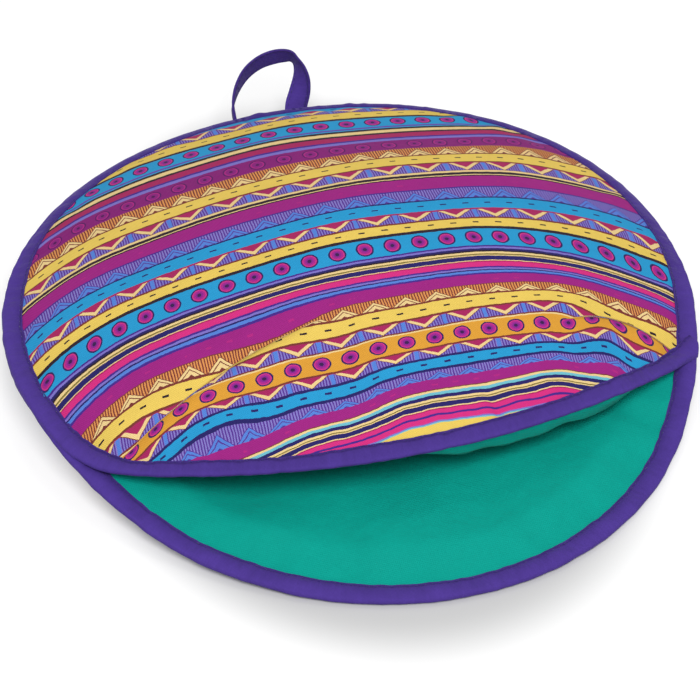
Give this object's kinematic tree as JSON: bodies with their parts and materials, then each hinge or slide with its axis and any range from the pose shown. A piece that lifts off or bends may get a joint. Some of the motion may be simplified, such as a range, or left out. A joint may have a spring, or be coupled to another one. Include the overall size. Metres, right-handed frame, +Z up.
{
  "type": "tortilla warmer",
  "caption": "Padded round fabric pouch with a bound mouth that lifts open and a hanging loop, for keeping flat breads warm.",
  "frame": {"origin": "on the table under the middle of the round base", "axes": "+Z up, the mouth faces -Y, the hanging loop is at +Y, +X is to the right seen from the mouth"},
  "size_m": [0.3084, 0.3238, 0.0625],
  "materials": {
    "print": "printed twill",
    "wadding": "needled polyester",
    "lining": "plain weave",
    "tape": "plain weave",
    "thread": "sewing thread"
  },
  "bodies": {
    "pouch": {"top_cover": "print", "top_wadding": "wadding", "top_lining": "lining", "mouth_binding_ends": "tape", "base_cover": "print", "base_wadding": "wadding", "base_lining": "lining", "base_lip_binding": "tape", "base_lip_stitching": "thread", "rim_binding": "tape", "rim_stitching": "thread", "loop_tacks": "thread"},
    "lip": {"lip_cover": "print", "lip_wadding": "wadding", "lip_lining": "lining", "lip_binding": "tape", "lip_stitching": "thread"},
    "loop": {"hanging_loop": "tape"}
  },
  "joints": [
    {"name": "lip_lift", "type": "hinge", "parent": "pouch", "child": "lip", "pos_m": [0, -0.0629, 0.0485], "axis": [-1, 0, 0], "range_deg": [0, 45]},
    {"name": "loop_flop", "type": "hinge", "parent": "pouch", "child": "loop", "pos_m": [-0.0052, 0.1494, 0.0245], "axis": [0.9994, 0.0349, 0], "range_deg": [-75, 45]}
  ]
}
